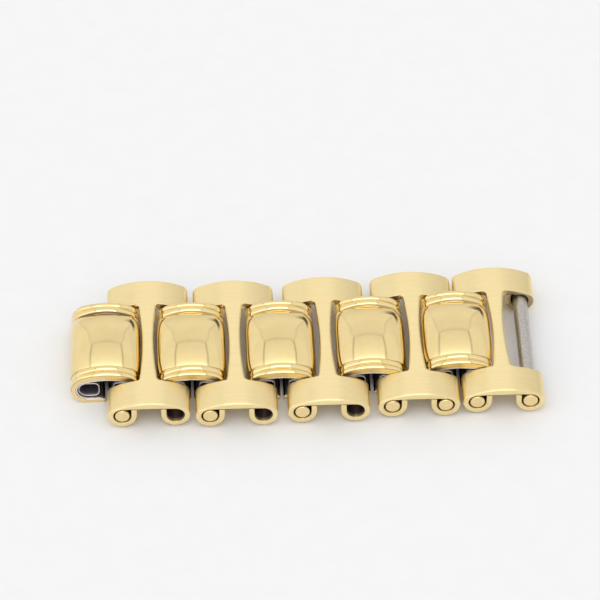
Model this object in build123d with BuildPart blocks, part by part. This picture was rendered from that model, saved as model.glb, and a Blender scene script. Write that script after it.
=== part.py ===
from build123d import *
from math import atan2, cos, degrees, radians, sin
import os

# A five link watch bracelet section. Five H-shaped outer links with rolled ends carry two pins each.
# Five centre links, each a folded shell with a pillow dome between beaded bands, hang on the pins by
# strip sleeves inside the fold. The links are drawn about the height of their pins, then laid in a row.
# The pins' room in the sleeves follows from the centre link. The eyes and the waist follow from it.
# X runs along the bracelet, Y across it, Z up. The origin is under the middle of the row.

os.makedirs("parts", exist_ok=True)

# The overrun of every cut past the metal that it removes
cut_over = 1.0

# Pins
pin_radius = 0.67
pin_proud = 0.04
pin_recess = 2.0
pin_rattle = 0.04
pin_end_fit = 0.015

# Outer link: the rolled section, seen along the pins
link_width = 16.0
link_length = 7.44
eye_fit = 0.15
eye_wall_share = 0.53
link_crest = 1.5
link_crown = 0.62
link_shoulder = 0.8
curl_gap = 0.08
link_gap = 0.13

# Outer link: the H outline, seen from above
window_width = 9.8
waist_share = 0.54
waist_gap = 0.065
flare_share = 0.31
window_corner = 0.15
crest_bevel = 0.2

# Centre link: the folded shell
side_play = 0.2
centre_half = 3.18
pin_depth = 1.55
centre_crest = 1.72
centre_shoulder = 1.45
sheet = 0.41
lip_radius = 0.3
lip_gap = 0.3

# Centre link: the two beads of each band
outer_bead_radius = 0.28
inner_bead_radius = 0.38
bead_gap = 0.01
bead_end_inset = 0.08
bead_end_rise = 0.25
bead_end_radius = 1.55
bead_flats = 6

# Centre link: the dome, a swelling of the fold's own outline. It's level in the middle, and its crest
# falls faster and faster towards the ends.
dome_crest = 2.42
dome_belly = 0.02
dome_tuck = 0.04
dome_fall_power = 3
dome_station_shares = [0.3, 0.65, 1]

# Steel liner and strip sleeves inside the fold
liner_fit = 0.015
liner_wall = 0.13
liner_inset = 0.08
liner_slot = 0.6
liner_bends = 3
sleeve_wall = 0.09
sleeve_bends = 6
sleeve_inset = 0.12

# How the links lie: each pin's place in its sleeve, from the sleeve's inner end stop to its outer one,
# and each link's sideways step from the link on its left, as a share of the side play
pin_place_shares = [0.155, 0.47, 1, 0.8, 0.165]
side_step_shares = [-0.45, -0.6, -0.65, 0.4, 0.45, 0.95, 0.95, 0.65, 0.65]

link_count = len(pin_place_shares)
link_half = link_length / 2
centre_width = window_width - 2 * side_play
dome_half = centre_half + dome_belly

# The sleeve's round end shares its centre with the fold's corner, and stops the pin there
corner_reach = centre_half - centre_shoulder
sleeve_half_height = pin_radius + pin_rattle + sleeve_wall
pin_farthest = corner_reach + sleeve_half_height - sleeve_wall - pin_end_fit - pin_radius

# The eyes' wall is a share of the metal that fits round the pin. The waist is a share of the room
# between two domes drawn apart. A pin comes as near to the fold's middle as both leave it.
bore_radius = pin_radius + eye_fit
eye_radius = bore_radius + eye_wall_share * (pin_farthest - bore_radius)
eye_reach = link_half - eye_radius
waist_half = waist_share * (eye_reach + pin_farthest - dome_half)
waist_flare = flare_share * 2 * waist_half
pin_nearest = max(eye_radius + link_gap / 2, dome_half + waist_half + waist_gap - eye_reach)
sleeve_inner_edge = pin_nearest - pin_end_fit - pin_radius - sleeve_wall


def arch_radius(reach, rise, corner):
    """Radius of the arch with its crest at rise that runs smoothly into two corners at reach."""
    return (reach**2 + rise**2 - corner**2) / (2 * (rise - corner))


def arch_turn(reach, rise, radius):
    """Angle in degrees that such an arch covers on each side of its crest."""
    return degrees(atan2(reach, radius - rise))


# Outer link: one strip, crowned between the eyes, rolled under at both ends
shoulder_reach = link_half - link_shoulder
link_arch = arch_radius(shoulder_reach, link_crest, link_shoulder)
link_turn = arch_turn(shoulder_reach, link_crest, link_arch)
under_crest = link_crest - link_crown
under_rise = under_crest - bore_radius
under_arch = (eye_reach**2 + under_rise**2) / (2 * under_rise)
under_turn = degrees(atan2(eye_reach, under_arch - under_rise))
curl_top = bore_radius - curl_gap
curl_tip = eye_reach - eye_radius
curl_inside = eye_reach - bore_radius
above = link_crest + cut_over
beside = link_half + cut_over

with BuildPart() as outer_link:
    with BuildSketch(Plane.XZ):
        with BuildLine():
            CenterArc((0, link_crest - link_arch), link_arch, 90 - link_turn, link_turn)
            CenterArc((shoulder_reach, 0), link_shoulder, 0, 90 - link_turn)
            CenterArc((eye_reach, 0), eye_radius, -180, 180)
            Polyline((curl_tip, 0), (curl_tip, curl_top), (curl_inside, curl_top), (curl_inside, 0))
            CenterArc((eye_reach, 0), bore_radius, 180, 270)
            CenterArc((0, under_crest - under_arch), under_arch, 90 - under_turn, under_turn)
            mirror(about=Plane.YZ)
        make_face()
    extrude(amount=link_width / 2, both=True)
    # The crest's edge is bevelled at both faces, and the bevel fades out at the link's ends
    for side in (-1, 1):
        for past_bevel in (0, 2):
            bevelled_crest = link_crest - past_bevel * crest_bevel
            edge_arch = arch_radius(shoulder_reach, bevelled_crest, link_shoulder)
            edge_turn = arch_turn(shoulder_reach, bevelled_crest, edge_arch)
            with BuildSketch(Plane.XZ.offset(side * (link_width / 2 + (past_bevel - 1) * crest_bevel))):
                with BuildLine():
                    CenterArc((0, bevelled_crest - edge_arch), edge_arch, 90 - edge_turn, edge_turn)
                    CenterArc((shoulder_reach, 0), link_shoulder, 0, 90 - edge_turn)
                    Polyline((link_half, 0), (beside, 0), (beside, above), (0, above))
                    mirror(about=Plane.YZ)
                make_face()
        loft(ruled=True, mode=Mode.SUBTRACT)
    with BuildSketch(Plane.XY) as window:
        with BuildLine():
            ThreePointArc((waist_half + waist_flare, -window_width / 2), (waist_half, 0),
                          (waist_half + waist_flare, window_width / 2))
            Polyline((waist_half + waist_flare, window_width / 2), (beside, window_width / 2),
                     (beside, -window_width / 2), (waist_half + waist_flare, -window_width / 2))
        make_face()
        chamfer(window.vertices().group_by(Axis.X)[0], length=window_corner)
        mirror(about=Plane.YZ)
    extrude(amount=above, both=True, mode=Mode.SUBTRACT)


# Pins: long ones end flush with the link, short ones lie sunk inside its eyes
def make_pin(length):
    """One plain pin along Y."""
    with BuildPart() as pin:
        with BuildSketch(Plane.XZ):
            Circle(pin_radius)
        extrude(amount=length / 2, both=True)
    return pin.part


long_pin = make_pin(link_width + 2 * pin_proud)
short_pin = make_pin(link_width - 2 * pin_recess)

# Centre shell: the fold, its beads and its dome, hollowed through
centre_arch = arch_radius(corner_reach, centre_crest, centre_shoulder)
centre_turn = arch_turn(corner_reach, centre_crest, centre_arch)
cavity_half = centre_half - sheet
cavity_floor = pin_depth - sheet
cavity_crest = centre_crest - sheet
cavity_shoulder = centre_shoulder - sheet
outer_bead_place = centre_width / 2 - outer_bead_radius
inner_bead_place = outer_bead_place - outer_bead_radius - inner_bead_radius - bead_gap
bead_reach = centre_half - bead_end_inset - bead_end_radius
dome_reach = inner_bead_place - inner_bead_radius + dome_tuck
dome_rise = dome_crest - centre_crest
dome_corner = dome_half - centre_shoulder
dome_arch = arch_radius(dome_corner, centre_crest, centre_shoulder)
dome_turn = arch_turn(dome_corner, centre_crest, dome_arch)


def bends(centre, reach, first, last, count):
    """The points where a strip bent in steps about (centre, 0) changes its direction."""
    angles = [radians(first + (last - first) * step / count) for step in range(count + 1)]
    return [(centre + reach * cos(angle), reach * sin(angle)) for angle in angles]


with BuildPart() as centre_shell:
    with BuildSketch(Plane.XZ):
        with BuildLine():
            CenterArc((0, centre_crest - centre_arch), centre_arch, 90 - centre_turn, centre_turn)
            CenterArc((corner_reach, 0), centre_shoulder, 0, 90 - centre_turn)
            CenterArc((centre_half - pin_depth, 0), pin_depth, -90, 90)
            Line((centre_half - pin_depth, -pin_depth), (0, -pin_depth))
            mirror(about=Plane.YZ)
        make_face()
    extrude(amount=centre_width / 2, both=True)
    for place, radius in ((outer_bead_place, outer_bead_radius), (inner_bead_place, inner_bead_radius)):
        for side in (-1, 1):
            run_radius = bead_end_radius - radius
            run_rise = centre_crest - bead_end_rise
            run_arch = arch_radius(bead_reach, run_rise, run_radius)
            run_turn = arch_turn(bead_reach, run_rise, run_arch)
            with BuildLine(Plane.XZ.offset(side * place)):
                run_start = CenterArc((bead_reach, bead_end_rise), run_radius, 0, 90 - run_turn)
                CenterArc((0, centre_crest - run_arch), run_arch, 90 - run_turn, 2 * run_turn)
                CenterArc((-bead_reach, bead_end_rise), run_radius, 90 + run_turn, 90 - run_turn)
            with BuildSketch(Plane(origin=run_start @ 0, z_dir=run_start % 0)):
                RegularPolygon(radius, side_count=bead_flats, major_radius=False, rotation=180 / bead_flats)
            sweep()
    # The outer beads' feet are trimmed to the open ends
    Box(2 * dome_half, centre_width, 2 * (dome_crest + cut_over), mode=Mode.INTERSECT)
    for station_share in [-share for share in reversed(dome_station_shares)] + dome_station_shares:
        level = dome_belly + dome_rise * (1 - abs(station_share) ** dome_fall_power)
        with BuildSketch(Plane.XZ.offset(dome_reach * station_share)):
            with BuildLine():
                Line((dome_half, 0), (dome_half, level))
                CenterArc((dome_corner, level), centre_shoulder, 0, 90 - dome_turn)
                CenterArc((0, level + centre_crest - dome_arch), dome_arch, 90 - dome_turn, 2 * dome_turn)
                CenterArc((-dome_corner, level), centre_shoulder, 90 + dome_turn, 90 - dome_turn)
                Line((-dome_half, level), (-dome_half, 0))
                Line((-dome_half, 0), (dome_half, 0))
            make_face()
    loft(ruled=True)
    with BuildSketch(Plane.XZ):
        with BuildLine():
            CenterArc((cavity_half - cavity_floor, 0), cavity_floor, -90, 90)
            CenterArc((corner_reach, 0), cavity_shoulder, 0, 90 - centre_turn)
            CenterArc((0, centre_crest - centre_arch), centre_arch - sheet, 90 - centre_turn, centre_turn)
            Line((cavity_half - cavity_floor, -cavity_floor), (lip_gap / 2, -cavity_floor))
            Line((lip_gap / 2, -cavity_floor), (lip_gap / 2, -pin_depth - cut_over))
            Line((lip_gap / 2, -pin_depth - cut_over), (0, -pin_depth - cut_over))
            mirror(about=Plane.YZ)
        make_face()
    extrude(amount=centre_width / 2 + cut_over, both=True, mode=Mode.SUBTRACT)
    lips = centre_shell.edges().filter_by(Axis.Y).group_by(Axis.Z)[0].sort_by(SortBy.DISTANCE)
    fillet(lips[:2], radius=lip_radius)

# Steel liner: a thin sheet bent to follow the inside of the fold, with its corners near the gold
with BuildPart() as centre_liner:
    with BuildSketch(Plane.XZ):
        for inset, use in ((liner_fit, Mode.ADD), (liner_fit + liner_wall, Mode.SUBTRACT)):
            with BuildSketch(mode=use):
                with BuildLine():
                    low = bends(cavity_half - cavity_floor, cavity_floor - inset, -90, 0, liner_bends)
                    high = bends(corner_reach, cavity_shoulder - inset, 0, 90 - centre_turn, liner_bends)
                    Polyline((0, inset - cavity_floor), *low, *high[1:])
                    CenterArc((0, centre_crest - centre_arch), centre_arch - sheet - inset, 90 - centre_turn,
                              centre_turn)
                    mirror(about=Plane.YZ)
                make_face()
        with Locations((0, -cavity_floor)):
            Rectangle(liner_slot, 2 * (liner_wall + liner_fit), mode=Mode.SUBTRACT)
    extrude(amount=centre_width / 2 - liner_inset, both=True)

# Strip sleeve: a D-shaped loop, bent round at the fold and square at its inner end
with BuildPart() as sleeve:
    half_bend = 90 / sleeve_bends
    with BuildSketch(Plane.XZ):
        for wall, use in ((0, Mode.ADD), (sleeve_wall, Mode.SUBTRACT)):
            half_height = sleeve_half_height - wall
            round_end = bends(corner_reach, half_height / cos(radians(half_bend)), half_bend - 90,
                              90 - half_bend, sleeve_bends - 1)
            with BuildSketch(mode=use):
                with BuildLine():
                    Polyline((sleeve_inner_edge + wall, -half_height), *round_end,
                             (sleeve_inner_edge + wall, half_height), close=True)
                make_face()
    extrude(amount=centre_width / 2 - sleeve_inset, both=True)

left_sleeve = mirror(sleeve.part, about=Plane.YZ)

# The row: pins stand between the sleeves' end stops, and links step sideways within the side play
centre_places = []
outer_places = []
along = 0
across = 0
for link, share in enumerate(pin_place_shares):
    pin_place = pin_nearest + share * (pin_farthest - pin_nearest)
    along += pin_place if link else 0
    centre_places.append((along, across))
    across += side_step_shares[2 * link] * side_play
    along += pin_place + eye_reach
    outer_places.append((along, across))
    along += eye_reach
    if link < link_count - 1:
        across += side_step_shares[2 * link + 1] * side_play

row_start = centre_places[0][0] - centre_half
row_end = outer_places[-1][0] + link_half
sideways = [place[1] for place in outer_places]
shift = (-(row_start + row_end) / 2, -(min(sideways) + max(sideways)) / 2)


def place_and_write(piece, name, place):
    """Lays one piece at its link's place in the row and writes it."""
    laid = piece.moved(Location((place[0] + shift[0], place[1] + shift[1], pin_depth)))
    laid.label = name
    export_step(laid, f"parts/{name}.step")


for link in range(link_count):
    number = link + 1
    outer = outer_places[link]
    sunk_right_pin = link < link_count - 2
    place_and_write(outer_link.part, f"outer_link_{number}", outer)
    place_and_write(long_pin, f"left_pin_{number}", (outer[0] - eye_reach, outer[1]))
    right_pin = short_pin if sunk_right_pin else long_pin
    place_and_write(right_pin, f"right_pin_{number}", (outer[0] + eye_reach, outer[1]))
    place_and_write(centre_shell.part, f"centre_shell_{number}", centre_places[link])
    place_and_write(centre_liner.part, f"centre_liner_{number}", centre_places[link])
    place_and_write(left_sleeve, f"left_sleeve_{number}", centre_places[link])
    place_and_write(sleeve.part, f"right_sleeve_{number}", centre_places[link])
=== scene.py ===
import math
import bpy
import numpy as np
from mathutils import Matrix, Vector


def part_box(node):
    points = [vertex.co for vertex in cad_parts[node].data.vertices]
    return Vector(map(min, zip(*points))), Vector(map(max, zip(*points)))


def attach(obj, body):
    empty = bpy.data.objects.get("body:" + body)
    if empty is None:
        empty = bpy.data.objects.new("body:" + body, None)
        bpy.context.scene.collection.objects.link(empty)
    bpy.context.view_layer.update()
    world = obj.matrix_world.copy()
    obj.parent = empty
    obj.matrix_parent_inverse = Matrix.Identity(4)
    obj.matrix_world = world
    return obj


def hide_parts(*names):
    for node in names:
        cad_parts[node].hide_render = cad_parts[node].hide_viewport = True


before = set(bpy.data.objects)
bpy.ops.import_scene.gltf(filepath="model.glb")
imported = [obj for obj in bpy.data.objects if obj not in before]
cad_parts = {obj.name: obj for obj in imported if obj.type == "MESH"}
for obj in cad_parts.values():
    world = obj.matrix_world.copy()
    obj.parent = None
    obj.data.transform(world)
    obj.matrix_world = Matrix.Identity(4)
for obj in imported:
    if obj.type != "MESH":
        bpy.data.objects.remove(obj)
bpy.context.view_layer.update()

# Outer links. Each is one strip of brushed gold sheet, sawn to an H and crowned between its ends.
# Both ends of each bar are rolled under into an eye, and the strip's edge is softened all round.

# The pieces' sizes are in mm. Outlines are drawn about the link's middle, with zero height at the
# pins.
MM = 0.001
PIN_HEIGHT = 1.55
LINKS = range(1, 6)

link_half = 3.72
link_width = 16.0
window_half = 4.9
waist_half = 0.518
waist_flare = 0.321
waist_fillet = 0.3
waist_edge = 0.2
eye_reach = 2.404
bore_radius = 0.82
eye_radius = 1.316
link_crest = 1.5
link_shoulder = 0.8
under_crest = 0.88
curl_top = 0.74
# Edge radii at the curled ends, round the eyes, over the top, in the bores and round the window.
curl_edge, eye_edge, top_edge, bore_edge, window_edge = 0.06, 0.13, 0.17, 0.05, 0.05
# The waist and its fillets cover the bars' inner walls this far out from the middle.
waist_reach = 1.15

satin_tones = (0.975, 0.78, 0.405), (1.0, 0.83, 0.445)
# Painted shade for the link's bores and underside, and for the bars' inner walls beside the window.
bore_painted_shade = (0.15, 0.105, 0.12)
# Within the skin of a bar's inner wall the gold gets as much painted shade as at this depth in a bore.
wall_skin, wall_painted_shade = 0.02, 0.3


def arc(cx, cz, radius, start, stop, count):
    """Points on a circle about (cx, cz), from one angle to another in degrees."""
    angle = np.radians(np.linspace(start, stop, count))
    return np.stack([cx + radius * np.cos(angle), cz + radius * np.sin(angle)], -1)


def line(ax, az, bx, bz, count):
    """Points evenly spaced on the straight run from (ax, az) to (bx, bz)."""
    share = np.linspace(0, 1, count)[:, None]
    return np.array([ax, az]) * (1 - share) + np.array([bx, bz]) * share


def crown(reach, rise, corner):
    """Radius of the arch with its crest at rise that meets two corner circles at reach smoothly,
    and the angle in degrees that it covers on each side."""
    radius = (reach**2 + rise**2 - corner**2) / (2 * (rise - corner))
    return radius, math.degrees(math.atan2(reach, radius - rise))


def outline_normals(points):
    """Outward unit normals of a closed outline that runs anticlockwise, square to the chord between
    each point's two neighbours."""
    chord = np.roll(points, -1, axis=-2) - np.roll(points, 1, axis=-2)
    chord = chord / np.linalg.norm(chord, axis=-1, keepdims=True)
    return np.stack([chord[..., 1], -chord[..., 0]], -1)


def skinned(name, rings, depth=None, looped=False):
    """A closed body through rings of equal count in mm, each an anticlockwise outline, laid one
    behind the other along Y. Quads join neighbouring rings. Each flat end is a ladder of quads from
    the outline's first half to its second half, which runs back beside it. A looped body has no
    ends: its rings go out over a wall and back inside it. Depth is how far in from the open air
    each point lies, in mm."""
    count, around, _ = rings.shape
    first = np.arange(around)
    after = (first + 1) % around
    base = (np.arange(count if looped else count - 1) * around)[:, None]
    beyond = (base + around) % (count * around)
    quads = np.stack([base + first, beyond + first, beyond + after, base + after], -1).reshape(-1, 4)
    walls = len(quads)
    if not looped:
        rung = np.arange(around // 2 - 1)
        ladder = np.stack([rung, rung + 1, around - 2 - rung, around - 1 - rung], -1)
        quads = np.concatenate([quads, ladder, (count - 1) * around + ladder[:, ::-1]])
    mesh = bpy.data.meshes.new(name)
    mesh.vertices.add(count * around)
    mesh.vertices.foreach_set("co", (rings.reshape(-1, 3) * MM).astype(np.float32).ravel())
    mesh.loops.add(4 * len(quads))
    mesh.loops.foreach_set("vertex_index", quads.astype(np.int32).ravel())
    mesh.polygons.add(len(quads))
    mesh.polygons.foreach_set("loop_start", np.arange(0, 4 * len(quads), 4, dtype=np.int32))
    mesh.polygons.foreach_set("use_smooth", np.arange(len(quads)) < walls)
    mesh.update(calc_edges=True)
    if depth is None:
        depth = np.zeros(count * around)
    inward = mesh.attributes.new("depth", "FLOAT", "POINT")
    inward.data.foreach_set("value", np.asarray(depth, dtype=float).ravel())
    piece = bpy.data.objects.new(name, mesh)
    bpy.context.scene.collection.objects.link(piece)
    return piece


def in_row(outline, across):
    """Rings from one outline of (x, z) points or one per station, at the places across the row,
    raised to the height of the pins."""
    outline = np.broadcast_to(outline, (len(across),) + outline.shape[-2:])
    place = np.broadcast_to(np.asarray(across).reshape(len(across), -1), outline.shape[:2])
    return np.stack([outline[..., 0], place, outline[..., 1] + PIN_HEIGHT], -1)


def middle_of(node):
    """The middle of a CAD node's box in mm, at height 0."""
    low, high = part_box(node)
    return np.array([(low[0] + high[0]) / 2, (low[1] + high[1]) / 2, 0]) / MM


link_reach = link_half - link_shoulder
link_arch, link_turn = crown(link_reach, link_crest, link_shoulder)
under_rise = under_crest - bore_radius
under_arch = (eye_reach**2 + under_rise**2) / (2 * under_rise)
under_turn = math.degrees(math.atan2(eye_reach, under_arch - under_rise))


def rolled_outline():
    """The rolled section seen along the pins, anticlockwise. Its outer face runs from the right curled
    end round the eye and over the crest to the left curled end. Its inner face has as many points and
    runs back beside it, round the bores and along the underside. Also gives each point's edge radius,
    and the share of its depth that darkens it with painted shade: all in a bore, a tenth on the
    underside and none on the outer face."""
    tip = eye_reach - eye_radius
    wall = eye_reach - bore_radius
    curl = line(tip, curl_top, tip, 0, 8)[:-1]
    eye = arc(eye_reach, 0, eye_radius, -180, 0, 48)[:-1]
    top = np.concatenate([
        arc(link_reach, 0, link_shoulder, 0, 90 - link_turn, 24)[:-1],
        arc(0, link_crest - link_arch, link_arch, 90 - link_turn, 90, 32),
    ])
    bore = np.concatenate([
        line(wall, curl_top, wall, 0, 8)[:-1],
        arc(eye_reach, 0, bore_radius, 180, 360, 48)[:-1],
        arc(eye_reach, 0, bore_radius, 0, 70, 24)[:-1],
        arc(eye_reach, 0, bore_radius, 70, 90, 8)[:-1],
    ])
    under = arc(0, under_crest - under_arch, under_arch, 90 - under_turn, 90, 25)
    outer, inner = np.concatenate([curl, eye, top]), np.concatenate([bore, under])
    flip = np.array([-1, 1])
    points = np.concatenate([outer, outer[:-1][::-1] * flip, inner * flip, inner[:-1][::-1]])
    soft = np.repeat([curl_edge, eye_edge, top_edge], [len(curl), len(eye), len(top)])
    soft = np.concatenate([soft, soft[:-1][::-1], np.full(2 * len(inner) - 1, bore_edge)])
    bored = np.repeat([1.0, 0.1], [len(bore), len(under)])
    bored = np.concatenate([np.zeros(2 * len(outer) - 1), bored, bored[:-1][::-1]])
    # Averaging with both neighbours, six times over, lets one radius pass smoothly into the next.
    for _ in range(6):
        soft = (np.roll(soft, 1) + 2 * soft + np.roll(soft, -1)) / 4
    return points, soft, bored


def softened_bar(outline, soft, inner, outer):
    """Rings of one bar from its inner wall to its outer face. At each end a point's edge radius r
    turns the outline in by r (1 - cos a) while it moves out by r sin a, for a from 0 to a right
    angle. The inner wall keeps a sharp edge where the waist and its fillets meet it."""
    steps, margin = 9, 0.3
    normal = outline_normals(outline)
    turn = np.radians(np.linspace(0, 90, steps))[:, None]
    sign = math.copysign(1, outer - inner)
    small = np.where(np.abs(outline[:, 0]) < waist_reach, 0.0, window_edge)
    near = inner + sign * small * (1 - np.sin(turn[::-1]))
    far = outer - sign * soft * (1 - np.sin(turn))
    drawn_near = outline - normal * (small * (1 - np.cos(turn[::-1])))[..., None]
    drawn_far = outline - normal * (soft * (1 - np.cos(turn)))[..., None]
    middle = np.linspace(inner + sign * margin, outer - sign * margin, steps)[:, None]
    across = np.concatenate([near, np.broadcast_to(middle, (steps, len(outline))), far])
    drawn = np.concatenate([drawn_near, np.broadcast_to(outline, (steps,) + outline.shape), drawn_far])
    return (drawn, across) if sign > 0 else (drawn[::-1], across[::-1])


def waist_rings():
    """Rings of the waist between the two bars. Its half width grows along a circle from the middle
    to the bars, with a small fillet into each. Its top and underside are the link's, and its edges
    are softened."""
    places = window_half * np.sin(np.linspace(-1, 1, 121) * math.pi / 2)
    big = (window_half**2 + waist_flare**2) / (2 * waist_flare)
    half = waist_half + big - np.sqrt(big**2 - places**2)
    into = np.clip(np.abs(places) - (window_half - waist_fillet), 0, waist_fillet)
    half = half + waist_fillet - np.sqrt(np.maximum(waist_fillet**2 - into**2, 0))
    x_top = np.linspace(-1, 1, 25) * (half - waist_edge)[:, None]
    z_top = link_crest - link_arch + np.sqrt(link_arch**2 - x_top**2)
    z_low = under_crest - under_arch + np.sqrt(under_arch**2 - x_top**2)
    turn = np.radians(np.linspace(90, 0, 8))[1:]
    side_x = (half - waist_edge)[:, None] + waist_edge * np.cos(turn)
    high_z = z_top[:, -1:] - waist_edge + waist_edge * np.sin(turn)
    low_z = z_low[:, -1:] + waist_edge - waist_edge * np.sin(turn)
    x = np.concatenate([x_top[:, ::-1], -side_x, -side_x[:, ::-1], x_top, side_x[:, ::-1], side_x], 1)
    z = np.concatenate([z_top[:, ::-1], high_z, low_z[:, ::-1], z_low, low_z, high_z[:, ::-1]], 1)
    return np.stack([x, z], -1), places


def joined(name, parts):
    """One piece out of several bodies that touch face to face."""
    first = parts[0]
    with bpy.context.temp_override(active_object=first, selected_editable_objects=parts, object=first):
        bpy.ops.object.join()
    first.name = name
    first.data.name = name
    return first


def finish_of(name, metallic, roughness):
    """A new material with its Principled shader, as (material, nodes, links, shader)."""
    material = bpy.data.materials.new(name)
    material.use_nodes = True
    nodes, links = material.node_tree.nodes, material.node_tree.links
    shader = nodes["Principled BSDF"]
    shader.inputs["Metallic"].default_value = metallic
    shader.inputs["Roughness"].default_value = roughness
    return material, nodes, links, shader


def noise_on(nodes, links, scale, detail):
    """Noise on the object's own coordinates, at so many cells a metre along X, Y and Z."""
    where = nodes.new("ShaderNodeTexCoord")
    stretch = nodes.new("ShaderNodeMapping")
    stretch.inputs["Scale"].default_value = scale
    noise = nodes.new("ShaderNodeTexNoise")
    noise.inputs["Scale"].default_value = 1.0
    noise.inputs["Detail"].default_value = detail
    links.new(where.outputs["Object"], stretch.inputs["Vector"])
    links.new(stretch.outputs["Vector"], noise.inputs["Vector"])
    return noise.outputs["Fac"]


def two_tones(nodes, links, factor, low, high, start=0.3, stop=0.7):
    """A colour that goes from low to high while the factor goes from start to stop."""
    ramp = nodes.new("ShaderNodeValToRGB")
    ramp.color_ramp.elements[0].position, ramp.color_ramp.elements[0].color = start, (*low, 1)
    ramp.color_ramp.elements[1].position, ramp.color_ramp.elements[1].color = stop, (*high, 1)
    links.new(factor, ramp.inputs["Fac"])
    return ramp.outputs["Color"]


def grained(nodes, links, shader, height, strength):
    """Raises the surface by the height socket, as a bump of a hundredth of a millimetre at full
    strength."""
    bump = nodes.new("ShaderNodeBump")
    bump.inputs["Strength"].default_value = strength
    bump.inputs["Distance"].default_value = 0.01 * MM
    links.new(height, bump.inputs["Height"])
    links.new(bump.outputs["Normal"], shader.inputs["Normal"])


def turned_inside(nodes, links, color, inner, start, stop):
    """The colour turned to another while the depth from the open end goes from start to stop, in
    mm."""
    depth = nodes.new("ShaderNodeAttribute")
    depth.attribute_name = "depth"
    share = nodes.new("ShaderNodeMapRange")
    share.inputs["From Min"].default_value = start
    share.inputs["From Max"].default_value = stop
    links.new(depth.outputs["Fac"], share.inputs["Value"])
    mix = nodes.new("ShaderNodeMix")
    mix.data_type = "RGBA"
    links.new(share.outputs["Result"], mix.inputs["Factor"])
    links.new(color, mix.inputs["A"])
    if isinstance(inner, tuple):
        mix.inputs["B"].default_value = (*inner, 1)
    else:
        links.new(inner, mix.inputs["B"])
    return mix.outputs["Result"]


def brushed_gold():
    """Satin gold with its grain along the bracelet: long fine scratches in X that spread the light
    across the bracelet, a few broader streaks, and painted shade inside the eyes, on the underside and
    on the bars' inner walls."""
    material, nodes, links, shader = finish_of("brushed_gold", metallic=1.0, roughness=0.34)
    shader.inputs["Anisotropic"].default_value = 0.95
    shader.inputs["Anisotropic Rotation"].default_value = 0.25
    grain = noise_on(nodes, links, (300, 24000, 9000), detail=4.0)
    grained(nodes, links, shader, grain, strength=0.25)
    streaks = noise_on(nodes, links, (220, 9000, 5000), detail=4.0)
    color = two_tones(nodes, links, streaks, *satin_tones, start=0.35, stop=0.65)
    # Painted shade: the gold darkens with depth in the bores, on the underside and on the bars' inner
    # walls.
    color = turned_inside(nodes, links, color, bore_painted_shade, start=0.06, stop=0.5)
    links.new(color, shader.inputs["Base Color"])
    tangent = nodes.new("ShaderNodeTangent")
    tangent.direction_type = "RADIAL"
    tangent.axis = "Y"
    links.new(tangent.outputs["Tangent"], shader.inputs["Tangent"])
    return material


link_outline, link_soft, link_bored = rolled_outline()
waist_drawn, waist_places = waist_rings()
link_gold = brushed_gold()
for number in LINKS:
    middle = middle_of(f"outer_link_{number}")
    bodies = []
    for side in (-1, 1):
        drawn, across = softened_bar(link_outline, link_soft, side * window_half, side * link_width / 2)
        off = np.abs(across)
        # The depth drives painted shade: full in the bores, a tenth on the underside, and on the bars'
        # inner walls beside the window.
        depth = np.minimum(link_width / 2 - off, off - window_half) * link_bored
        beside_waist = (off < window_half + wall_skin) * (np.abs(link_outline[:, 0]) > waist_reach)
        depth = np.maximum(depth, wall_painted_shade * beside_waist)
        bodies.append(skinned(f"link_bar_{number}", in_row(drawn, across) + middle, depth))
    waist = in_row(waist_drawn, waist_places) + middle
    bodies.append(skinned(f"link_waist_{number}", waist))
    link = joined(f"brushed_link_{number}", bodies)
    link.data.materials.append(link_gold)
    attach(link, f"outer_{number}")
    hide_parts(f"outer_link_{number}")

# Pins. Plain turned pins with a chamfer at each end. The long ones are flush with the link, the
# short ones lie sunk in its eyes. All right pins but the fourth are worn to grey steel between the
# bars and still gold in the eyes. That shows on the last one, which has no sleeve on it.

pin_radius = 0.67
pin_chamfer = 0.09
bar_depth = link_width / 2 - window_half

pin_tones = (0.86, 0.67, 0.33), (0.95, 0.77, 0.42)
worn_tones = (0.46, 0.43, 0.40), (0.63, 0.59, 0.55)


def turned_pin(name, middle, half):
    """A pin along Y: circles of the pin's radius, drawn in by the chamfer at both ends. Depth is
    the way in from the nearer end."""
    plain = half - 0.3
    along = np.linspace(-plain, plain, 9)
    places = np.array([-half, -half + pin_chamfer, *along, half - pin_chamfer, half])
    radii = np.full(len(places), pin_radius)
    radii[[0, -1]] -= pin_chamfer
    angle = np.linspace(0, 2 * math.pi, 72, endpoint=False)
    circles = np.stack([np.cos(angle), np.sin(angle)], -1) * radii[:, None, None]
    x, y, z = middle
    across = np.broadcast_to(places[:, None] + y, circles.shape[:2])
    rings = np.stack([circles[..., 0] + x, across, circles[..., 1] + z], -1)
    depth = np.broadcast_to((half - np.abs(places))[:, None], across.shape)
    return skinned(name, rings, depth)


def pin_gold():
    """Gold pins, turned and faintly worn."""
    material, nodes, links, shader = finish_of("pin_gold", metallic=1.0, roughness=0.24)
    marks = noise_on(nodes, links, (5200, 5200, 5200), detail=5.0)
    grained(nodes, links, shader, marks, strength=0.3)
    links.new(two_tones(nodes, links, marks, *pin_tones), shader.inputs["Base Color"])
    return material


def pin_steel():
    """Pins worn to grey steel between the bars, with a faint fine speckle, and still gold in the
    eyes."""
    material, nodes, links, shader = finish_of("pin_steel", metallic=1.0, roughness=0.36)
    marks = noise_on(nodes, links, (9500, 3800, 9500), detail=5.0)
    grained(nodes, links, shader, marks, strength=0.25)
    bare = two_tones(nodes, links, marks, *worn_tones, start=0.34, stop=0.62)
    gold = two_tones(nodes, links, marks, *pin_tones)
    color = turned_inside(nodes, links, gold, bare, start=bar_depth - 0.2, stop=bar_depth)
    links.new(color, shader.inputs["Base Color"])
    return material


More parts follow.
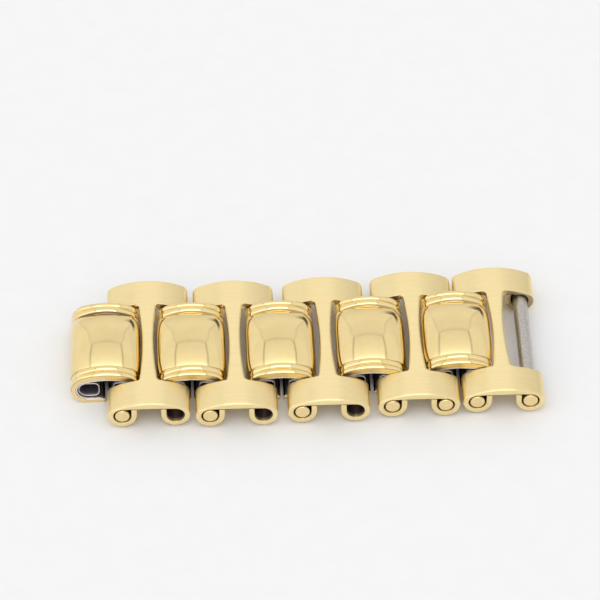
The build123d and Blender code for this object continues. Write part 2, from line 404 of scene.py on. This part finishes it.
gold_of_pins, steel_of_pins = pin_gold(), pin_steel()
for number in LINKS:
    for side in ("left", "right"):
        node = f"{side}_pin_{number}"
        low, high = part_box(node)
        middle = np.array([(a + b) / 2 for a, b in zip(low, high)]) / MM
        pin = turned_pin(f"turned_{node}", middle, (high[1] - low[1]) / 2 / MM)
        worn = side == "right" and number != 4
        pin.data.materials.append(steel_of_pins if worn else gold_of_pins)
        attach(pin, f"outer_{number}")
        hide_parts(node)

# Centre shells. Polished gold sheet folded to a flat tube that stays open at front and back, its
# edges nearly meeting underneath. A pillow dome is raised between two pairs of half-round beads.

shell_half = 3.18
shell_crest = 1.72
shell_shoulder = 1.45
shell_sheet = 0.41
shell_floor = 1.55
shell_width = 9.4
lip_gap = 0.3
lip_radius = 0.3
outer_bead_place, outer_bead_radius = 4.42, 0.28
inner_bead_place, inner_bead_radius = 3.75, 0.38
bead_reach, bead_rise, bead_end = 1.55, 0.25, 1.55
# A bead keeps this share of its height at the sides, and has all of it where the angle's sine is
# above this.
bead_left, bead_full = 0.5, 0.55
dome_reach = 3.41
dome_rise = 0.70
dome_belly = 0.02
shell_edge = 0.05
shell_corner = shell_half - shell_shoulder

mirror_tones = (0.90, 0.71, 0.345), (0.92, 0.73, 0.365)
# The gold's colour as painted shade, deep in the fold, on the underside and in the creases.
fold_painted_shade = (0.10, 0.07, 0.06)
clear_roughness, hazy_roughness, cut_roughness = 0.03, 0.10, 0.42
# Painted shade in each crease, as its width and the depth in the fold whose shade it matches. The
# underside gets the painted shade of one depth all over.
first_rear_crease_shade, rear_crease_shade, front_crease_shade = (0.09, 0.55), (0.055, 0.36), (0.04, 0.4)
bead_crease_shade, end_crease_shade = (0.035, 0.2), (0.05, 0.5)
underside_painted_shade = 0.35


def round_arch(angle, reach, level, corner, crest):
    """Distance from the pin line to an arched outline, in the direction of each angle. The outline
    has a crest, two round corners centred at (reach, level), and straight sides below them."""
    level = np.asarray(level, dtype=float)
    rise = crest - level
    radius = (reach**2 + rise**2 - corner**2) / (2 * (rise - corner))
    turn = np.arctan2(reach, radius - rise)
    run, climb = np.abs(np.cos(angle)), np.sin(angle)
    side = (reach + corner) / np.maximum(run, 1e-6)
    along = run * reach + climb * level
    bend = along + np.sqrt(np.maximum(along**2 - reach**2 - level**2 + corner**2, 0))
    hub = crest - radius
    top = climb * hub + np.sqrt(np.maximum((climb * hub) ** 2 - hub**2 + radius**2, 0))
    tilt = np.arctan2(bend * climb - level, bend * run - reach)
    return np.where(side * climb <= level, side, np.where(tilt <= np.pi / 2 - turn, bend, top))


def soft_max(a, b, blend=0.02):
    """The larger of two heights, rounded where they cross."""
    return (a + b + np.sqrt((a - b) ** 2 + blend**2)) / 2


def shell_radius(angle, across):
    """The shell's outer surface over the pin line: the largest of the folded sheet, the dome and
    the beads. The dome lifts the sheet's outline by a height that falls with the cube of the way to
    its end. A bead stands on its own arched run by sqrt(r^2 - d^2), d being the distance across
    from its middle, and dies away to half that height down the sides."""
    taper = bead_left + (1 - bead_left) * np.clip(np.sin(angle) / bead_full, 0, 1)
    sheet = round_arch(angle, shell_corner, 0.0, shell_shoulder, shell_crest)
    share = np.abs(across) / dome_reach
    lift = dome_belly + dome_rise * (1 - np.minimum(share, 1) ** 3)
    dome = round_arch(angle, shell_corner + dome_belly, lift, shell_shoulder, shell_crest + lift)
    surface = soft_max(np.broadcast_to(sheet, dome.shape), np.where(share < 1, dome, 0))
    for place, radius in ((inner_bead_place, inner_bead_radius), (outer_bead_place, outer_bead_radius)):
        off = np.abs(across) - place
        run = round_arch(angle, bead_reach, bead_rise, bead_end - radius, shell_crest)
        stand = np.sqrt(np.maximum(radius**2 - off**2, 0))
        surface = soft_max(surface, np.where(np.abs(off) < radius, run + stand * taper, 0))
    return surface


def folded_outline():
    """The folded sheet's section, anticlockwise. Its outer face runs from the right lip round the
    right fold and over the top to the left lip, and its inner face runs back beside it. Also says
    which points lie on the arched top, with their angle about the pin line, and which lie
    inside."""
    inner_floor = shell_floor - shell_sheet
    turn_in = shell_half - shell_floor
    lip = lip_gap / 2 + lip_radius
    angle = np.linspace(0, math.pi, 151)
    way = np.stack([np.cos(angle), np.sin(angle)], -1)
    top = way * round_arch(angle, shell_corner, 0.0, shell_shoulder, shell_crest)[:, None]
    under = way * round_arch(
        angle, shell_corner, 0.0, shell_shoulder - shell_sheet, shell_crest - shell_sheet)[:, None]
    outer = np.concatenate([
        arc(lip, -shell_floor + lip_radius, lip_radius, 180, 270, 9)[:-1],
        line(lip, -shell_floor, turn_in, -shell_floor, 4)[:-1],
        arc(turn_in, 0, shell_floor, -90, 0, 22)[:-1],
    ])
    inner = np.concatenate([
        line(lip_gap / 2, -inner_floor, lip, -inner_floor, 9)[:-1],
        line(lip, -inner_floor, turn_in, -inner_floor, 4)[:-1],
        arc(turn_in, 0, inner_floor, -90, 0, 22)[:-1],
    ])
    flip = np.array([-1, 1])
    outline = np.concatenate([outer, top, outer[::-1] * flip, inner * flip, under[::-1], inner[::-1]])
    order = np.arange(len(outline))
    on_top = (order >= len(outer)) & (order < len(outer) + len(top))
    return outline, on_top, angle, order >= len(outline) // 2


def shell_rings(crease_shade_behind):
    """Rings across the link: the folded outline at each station, its top moved out to the shell's
    surface, and its outline turned in round a small edge at the two open ends. The stations are wide
    apart over the dome, and close from its ends on. Depth, which darkens the gold as painted shade,
    grows inside the fold, and also in the creases beside the dome, between the beads and at the ends,
    by e^-(d/w)^2 with d the distance across from the crease and w its width. The underside gets one
    depth all over. Depth is -1 on the two cut ends."""
    outline, on_top, angle, inside = folded_outline()
    normal = outline_normals(outline)
    half = shell_width / 2
    plain = half - shell_edge
    coarse, fine = np.linspace(0, 3.22, 26)[1:], np.linspace(3.26, plain, 72)
    right = np.concatenate([coarse, fine])
    places = np.concatenate([-right[::-1], [0], right])
    drawn = np.broadcast_to(outline, (len(places),) + outline.shape).copy()
    surface = shell_radius(angle[None, :], places[:, None])
    drawn[:, on_top] = surface[..., None] * np.stack([np.cos(angle), np.sin(angle)], -1)
    turn = np.radians(np.linspace(0, 90, 6))[1:]
    turned_in = normal * (shell_edge * (1 - np.cos(turn)))[:, None, None]
    out = plain + shell_edge * np.sin(turn)
    drawn = np.concatenate([(drawn[0] - turned_in)[::-1], drawn, drawn[-1] - turned_in])
    places = np.concatenate([-out[::-1], places, out])
    # Depth drives painted shade: deep in the fold, on the underside and in the creases.
    underneath = outline[:, 1] < -shell_floor + 0.01
    depth = np.maximum((half - np.abs(places))[:, None] * inside, underside_painted_shade * underneath)
    between_beads = inner_bead_place + inner_bead_radius
    creases = ((dome_reach, crease_shade_behind), (-dome_reach, front_crease_shade),
               (between_beads, bead_crease_shade), (-between_beads, bead_crease_shade),
               (half, end_crease_shade), (-half, end_crease_shade))
    for crease, (wide, most) in creases:
        crease_shade = most * np.exp(-(((places - crease) / wide) ** 2))
        depth = np.maximum(depth, crease_shade[:, None] * on_top)
    depth[[0, -1]] = -1
    return drawn, places, depth


def polished_gold():
    """Mirror gold with a breath of uneven gloss and very fine hairlines, satin on its cut ends, and
    darkened by painted shade deep inside the fold, on the underside and in the creases."""
    material, nodes, links, shader = finish_of("polished_gold", metallic=1.0, roughness=0.06)
    haze = noise_on(nodes, links, (900, 900, 900), detail=3.0)
    gloss = nodes.new("ShaderNodeMapRange")
    gloss.inputs["To Min"].default_value = clear_roughness
    gloss.inputs["To Max"].default_value = hazy_roughness
    links.new(haze, gloss.inputs["Value"])
    satin = nodes.new("ShaderNodeAttribute")
    satin.attribute_name = "depth"
    rough = nodes.new("ShaderNodeMapRange")
    rough.inputs["From Min"].default_value = 0.0
    rough.inputs["From Max"].default_value = -1.0
    rough.inputs["To Max"].default_value = cut_roughness
    links.new(satin.outputs["Fac"], rough.inputs["Value"])
    links.new(gloss.outputs["Result"], rough.inputs["To Min"])
    links.new(rough.outputs["Result"], shader.inputs["Roughness"])
    hairlines = noise_on(nodes, links, (700, 5200, 2600), detail=2.0)
    grained(nodes, links, shader, hairlines, strength=0.04)
    color = two_tones(nodes, links, haze, *mirror_tones, start=0.4, stop=0.6)
    # Painted shade: the gold darkens with depth in the fold, on the underside and in the creases.
    color = turned_inside(nodes, links, color, fold_painted_shade, start=0.1, stop=0.6)
    links.new(color, shader.inputs["Base Color"])
    return material


shell_gold = polished_gold()
for number in LINKS:
    # The first shell gets a wider, darker painted shade in its rear crease.
    drawn, places, depth = shell_rings(first_rear_crease_shade if number == 1 else rear_crease_shade)
    rings = in_row(drawn, places) + middle_of(f"centre_shell_{number}")
    shell = skinned(f"domed_shell_{number}", rings, depth)
    shell.data.materials.append(shell_gold)
    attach(shell, f"centre_{number}")
    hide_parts(f"centre_shell_{number}")

# Liners. Thin steel sheet is bent to line the inside of each fold, with its two edges apart underneath.
# Its raw edge shows as a pinkish grey line inside the gold, and the inside is darkened with painted
# shade.

liner_fit = 0.015
liner_wall = 0.13
liner_half = 4.68
liner_slot = 0.6
liner_edge = 0.04

steel_tones = (0.74, 0.68, 0.67), (0.93, 0.88, 0.87)
# The steel's colour deep inside the folds, as painted shade.
steel_painted_shade = (0.30, 0.26, 0.30)


def liner_run(inset):
    """One face of the liner's section from its right edge round the top to its left edge: the
    inside of the fold, drawn in by the inset."""
    radius, turn = crown(shell_corner, shell_crest, shell_shoulder)
    floor = shell_floor - shell_sheet - inset
    turn_in = shell_half - shell_floor
    right = np.concatenate([
        line(liner_slot / 2, -floor, turn_in, -floor, 5)[:-1],
        arc(turn_in, 0, floor, -90, 0, 24)[:-1],
        arc(shell_corner, 0, shell_shoulder - shell_sheet - inset, 0, 90 - turn, 16)[:-1],
        arc(0, shell_crest - radius, radius - shell_sheet - inset, 90 - turn, 90, 10),
    ])
    return np.concatenate([right, right[:-1][::-1] * [-1, 1]])


def sheet_steel():
    """Bare rolled steel, streaked across the bracelet, in its own colour on its cut edge and darkened
    inside with painted shade.
    """
    material, nodes, links, shader = finish_of("sheet_steel", metallic=0.8, roughness=0.32)
    streaks = noise_on(nodes, links, (9000, 700, 9000), detail=3.0)
    grained(nodes, links, shader, streaks, strength=0.3)
    color = two_tones(nodes, links, streaks, *steel_tones)
    # Painted shade: the steel darkens with depth from the open end.
    color = turned_inside(nodes, links, color, steel_painted_shade, start=0.03, stop=0.4)
    links.new(color, shader.inputs["Base Color"])
    return material


steel = sheet_steel()
liner_outer, liner_inner = liner_run(liner_fit), liner_run(liner_fit + liner_wall)
liner_outline = np.concatenate([liner_outer, liner_inner[::-1]])
liner_turn = np.radians(np.linspace(0, 90, 5))
liner_out = liner_half - liner_edge + liner_edge * np.sin(liner_turn)
liner_along = np.linspace(-4.2, 4.2, 15)
liner_places = np.concatenate([-liner_out[::-1], liner_along, liner_out])
liner_drawn_in = liner_edge * (1 - np.cos(liner_turn))
liner_drawn_in = np.concatenate([liner_drawn_in[::-1], np.zeros(len(liner_along)), liner_drawn_in])
liner_drawn = liner_outline - outline_normals(liner_outline) * liner_drawn_in[:, None, None]
# The depth from the nearer end darkens the liner's steel with painted shade.
liner_depth = np.broadcast_to((liner_half - np.abs(liner_places))[:, None], liner_drawn.shape[:2])
for number in LINKS:
    rings = in_row(liner_drawn, liner_places) + middle_of(f"centre_shell_{number}")
    liner = skinned(f"lined_fold_{number}", rings, liner_depth)
    liner.data.materials.append(steel)
    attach(liner, f"centre_{number}")
    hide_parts(f"centre_liner_{number}")

# Sleeves. Two steel strips in each fold are bent to a D and closed on themselves. Each carries the
# pin of the link beside it, with its round end in the fold's own round end.

sleeve_wall = 0.09
sleeve_half = 4.58
sleeve_height = 0.8
sleeve_inner_edge = 0.606
sleeve_corner = 0.5


def sleeve_run(inset):
    """The D-shaped loop drawn in by the inset, anticlockwise: round at the fold, square with soft
    corners at its inner end."""
    height, edge, corner = sleeve_height - inset, sleeve_inner_edge + inset, sleeve_corner - inset
    low = np.concatenate([
        arc(edge + corner, -height + corner, corner, 180, 270, 10),
        line(edge + corner, -height, shell_corner, -height, 5)[1:-1],
        arc(shell_corner, 0, height, -90, 0, 20)[:-1],
    ])
    return np.concatenate([low, [[shell_corner + height, 0]], low[::-1] * [1, -1]])


def sleeve_rings():
    """Rings that go out over the strip, round its far end, back inside it and round its near end,
    with their places and how deep each lies from the nearer end."""
    round_end = np.radians(np.linspace(-90, 90, 9))
    half_wall = sleeve_wall / 2
    inset = half_wall + half_wall * np.sin(round_end)
    out = sleeve_half - half_wall + half_wall * np.cos(round_end)
    along = np.linspace(-4.1, 4.1, 9)
    plain = np.zeros(len(along))
    insets = np.concatenate([plain, inset, plain + sleeve_wall, inset[::-1]])
    places = np.concatenate([along, out, along[::-1], -out])
    drawn = np.stack([sleeve_run(value) for value in insets])
    return drawn, places, sleeve_half - np.abs(places)


sleeve_drawn, sleeve_places, sleeve_depth = sleeve_rings()
for number in LINKS:
    for side, sign in (("left", -1), ("right", 1)):
        drawn = sleeve_drawn if sign > 0 else (sleeve_drawn * [-1, 1])[:, ::-1]
        rings = in_row(drawn, sleeve_places) + middle_of(f"centre_shell_{number}")
        # The depth from the nearer end darkens the sleeve's steel with painted shade.
        depth = np.broadcast_to(sleeve_depth[:, None], rings.shape[:2])
        sleeve = skinned(f"strip_sleeve_{side}_{number}", rings, depth, looped=True)
        sleeve.data.materials.append(steel)
        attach(sleeve, f"centre_{number}")
        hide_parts(f"{side}_sleeve_{number}")

# The table, the light and the camera. The bracelet lies on a pale table inside a white light tent:
# a box with darker seams, a bright lamp overhead towards the camera, and something dark low at the
# back right.

table_half = 800
paper_tones = (0.835, 0.835, 0.84), (0.85, 0.85, 0.855)


def table():
    """A wide pale sheet at the height that the centre links rest on."""
    mesh = bpy.data.meshes.new("table")
    corners = np.array([(-1, -1, 0), (1, -1, 0), (1, 1, 0), (-1, 1, 0)]) * table_half * MM
    mesh.from_pydata(corners.tolist(), [], [(0, 1, 2, 3)])
    piece = bpy.data.objects.new("table", mesh)
    bpy.context.scene.collection.objects.link(piece)
    material, nodes, links, shader = finish_of("table_paper", metallic=0.0, roughness=0.7)
    shader.inputs["Specular IOR Level"].default_value = 0.1
    shade = noise_on(nodes, links, (400, 400, 400), detail=4.0)
    links.new(two_tones(nodes, links, shade, *paper_tones), shader.inputs["Base Color"])
    mesh.materials.append(material)
    return piece


table()

world = bpy.data.worlds.new("light_tent")
bpy.context.scene.world = world
world.use_nodes = True
tent, tent_links = world.node_tree.nodes, world.node_tree.links
tent.clear()


def worked(kind, first, second=None):
    """One step of arithmetic on the light's direction."""
    step = tent.new("ShaderNodeMath")
    step.operation = kind
    for socket, value in zip(step.inputs, (first, second)):
        if value is None:
            continue
        if isinstance(value, (int, float)):
            socket.default_value = value
        else:
            tent_links.new(value, socket)
    return step.outputs[0]


def between(value, start, stop):
    """0 below start, 1 above stop, and smooth between them."""
    step = tent.new("ShaderNodeMapRange")
    step.interpolation_type = "SMOOTHSTEP"
    step.inputs["From Min"].default_value = start
    step.inputs["From Max"].default_value = stop
    tent_links.new(value, step.inputs["Value"])
    return step.outputs["Result"]


def rest_of(share):
    """What the share leaves of 1."""
    return worked("SUBTRACT", 1.0, share)


def blended(factor, low, high):
    """low where the factor is 0 and high where it's 1."""
    return worked("ADD", worked("MULTIPLY", low, rest_of(factor)), worked("MULTIPLY", high, factor))


# How far the tent's sides and back wall stand from the bracelet, for a ceiling at height 1. Towards
# the camera the ceiling runs on down to the horizon, with no seam across.
tent_side, tent_back = 0.37, 0.85
seam_start, side_seam, back_seam = 0.90, 0.42, 0.14
# Brightness by degrees from the horizon at the back, up and over to the one behind the camera.
tent_levels = ((0, 0.74), (20, 0.86), (36, 0.90), (48, 0.84), (56, 0.87), (68, 0.92), (80, 0.98),
               (92, 1.06), (98, 1.2), (104, 1.6), (111, 2.7), (124, 2.7), (132, 1.4), (140, 0.95),
               (180, 0.75))
highest_level = 4.0
# The side walls are lit by what the lamp gives over the plain level, the west one most. The east
# one is darker low down.
plain_level = 0.87
west_level, west_spill = 0.92, 0.35
east_low, east_high, east_spill = 0.82, 0.90, 0.05
# The dark thing's left and right edges, as shares of a half turn from the back to the east, its
# top, and how much of the tent's own strength it takes away.
dark_left, dark_right, dark_top, dark_share = (0.06, 0.11), (0.18, 0.24), (0.22, 0.30), 0.85
tent_strength = 1.02

direction = tent.new("ShaderNodeTexCoord")
split = tent.new("ShaderNodeSeparateXYZ")
tent_links.new(direction.outputs["Generated"], split.inputs[0])
east, north, up = split.outputs
aside = worked("DIVIDE", worked("ABSOLUTE", east), tent_side)
behind = worked("DIVIDE", north, tent_back)
not_aside = worked("MAXIMUM", behind, up)
largest = worked("MAXIMUM", aside, not_aside)
second = worked("MAXIMUM", worked("MINIMUM", aside, not_aside), worked("MINIMUM", behind, up))
at_back = between(worked("SUBTRACT", behind, worked("MINIMUM", aside, up)), -0.02, 0.02)
seam = between(worked("DIVIDE", second, largest), seam_start, 1.0)
seam = worked("MULTIPLY", seam, blended(at_back, side_seam, back_seam))
on_side = between(worked("SUBTRACT", aside, not_aside), -0.01, 0.01)

swing = worked("DIVIDE", worked("ARCTAN2", up, north), math.pi)
over_row = tent.new("ShaderNodeFloatCurve")
tent_links.new(swing, over_row.inputs["Value"])
curve = over_row.mapping.curves[0]
for degrees, level in tent_levels:
    place = (degrees / 180, level / highest_level)
    if degrees in (0, 180):
        curve.points[0 if degrees == 0 else -1].location = place
    else:
        curve.points.new(*place)
over_row.mapping.update()
overhead = worked("MULTIPLY", over_row.outputs[0], highest_level)
spill = worked("SUBTRACT", overhead, plain_level)
east_level = blended(between(up, 0.50, 0.72), east_low, east_high)
east_wall = worked("ADD", east_level, worked("MULTIPLY", spill, east_spill))
west_wall = worked("ADD", west_level, worked("MULTIPLY", spill, west_spill))
side_wall = blended(between(east, -0.05, 0.05), west_wall, east_wall)
level = worked("MULTIPLY", blended(on_side, overhead, side_wall), rest_of(seam))

heading = worked("DIVIDE", worked("ARCTAN2", east, north), math.pi)
dark = worked("MULTIPLY", between(heading, *dark_left), rest_of(between(heading, *dark_right)))
dark = worked("MULTIPLY", dark, rest_of(between(up, *dark_top)))
strength = worked("SUBTRACT", tent_strength, worked("MULTIPLY", dark, dark_share))
level = worked("MULTIPLY", level, strength)

# The camera, and whatever shines through a piece, see plain white.
seen = tent.new("ShaderNodeLightPath")
straight = worked("MAXIMUM", seen.outputs["Is Camera Ray"], seen.outputs["Is Transmission Ray"])
level = blended(straight, level, 1.0)
glow = tent.new("ShaderNodeBackground")
glow.inputs["Color"].default_value = (1, 1, 1, 1)
tent_links.new(level, glow.inputs["Strength"])
out = tent.new("ShaderNodeOutputWorld")
tent_links.new(glow.outputs["Background"], out.inputs["Surface"])

# The camera looks down at the middle of the row from nearly straight in front. Its distance and
# target are in metres, and the pixels are the photograph's, at that distance.
azimuth, elevation, distance = math.radians(2.2), math.radians(44.56), 0.356
target = Vector((-0.00024, 0.00626, 0.0015))
pixels_per_mm, photo_width, sensor = 10.769, 600, 36

reach = math.cos(elevation)
ahead = Vector((math.sin(azimuth) * reach, math.cos(azimuth) * reach, -math.sin(elevation)))
right = Vector((math.cos(azimuth), -math.sin(azimuth), 0))
above = right.cross(ahead)
turned = Matrix((right, above, -ahead)).transposed().to_4x4()
camera_data = bpy.data.cameras.new("camera")
camera = bpy.data.objects.new("camera", camera_data)
bpy.context.scene.collection.objects.link(camera)
camera.matrix_world = Matrix.Translation(target - ahead * distance) @ turned
camera_data.sensor_fit = "HORIZONTAL"
camera_data.sensor_width = sensor
camera_data.lens = sensor * pixels_per_mm * (distance / MM) / photo_width
camera_data.clip_start = 0.01
bpy.context.scene.camera = camera
bpy.context.scene.view_settings.view_transform = "Standard"
